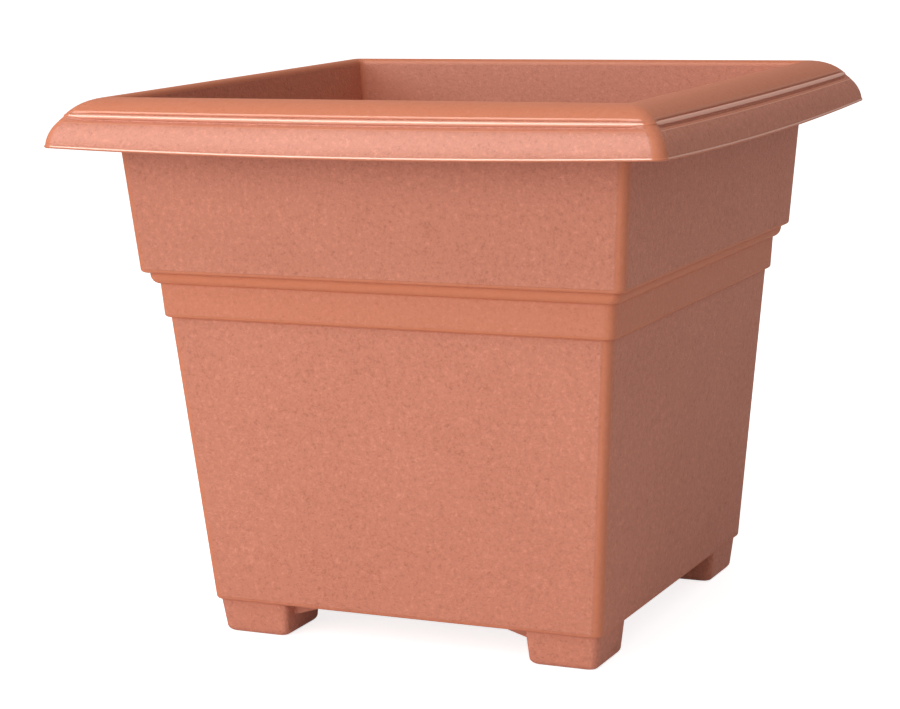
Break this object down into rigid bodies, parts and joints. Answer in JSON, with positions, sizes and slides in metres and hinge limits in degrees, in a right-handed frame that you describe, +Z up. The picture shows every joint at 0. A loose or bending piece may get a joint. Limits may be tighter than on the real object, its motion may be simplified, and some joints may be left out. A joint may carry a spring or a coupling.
{
  "type": "square tub planter",
  "caption": "Square plastic tub planter with a rolled rim, a stepped tapering wall, hollow corner feet and push-in drain plugs.",
  "frame": {"origin": "on the ground under the middle of the floor", "axes": "+Z up out of the mouth, -Y towards the front, +X to the right; the tub is the same on all four sides"},
  "size_m": [0.381, 0.381, 0.328],
  "materials": {
    "tub_plastic": "fine stipple on the walls, satin rim, terracotta colour moulded in",
    "plug_plastic": "satin, softer plastic in a darker terracotta"
  },
  "bodies": {
    "tub": {"tub": "tub_plastic"},
    "drain_plug_front": {"drain_plug_front": "plug_plastic"},
    "drain_plug_right": {"drain_plug_right": "plug_plastic"},
    "drain_plug_rear": {"drain_plug_rear": "plug_plastic"},
    "drain_plug_left": {"drain_plug_left": "plug_plastic"}
  },
  "joints": [
    {"name": "drain_plug_front_pull", "type": "slide", "parent": "tub", "child": "drain_plug_front", "axis": [0, 0, -1], "range_m": [0, 0.01]},
    {"name": "drain_plug_right_pull", "type": "slide", "parent": "tub", "child": "drain_plug_right", "axis": [0, 0, -1], "range_m": [0, 0.01]},
    {"name": "drain_plug_rear_pull", "type": "slide", "parent": "tub", "child": "drain_plug_rear", "axis": [0, 0, -1], "range_m": [0, 0.01]},
    {"name": "drain_plug_left_pull", "type": "slide", "parent": "tub", "child": "drain_plug_left", "axis": [0, 0, -1], "range_m": [0, 0.01]}
  ]
}
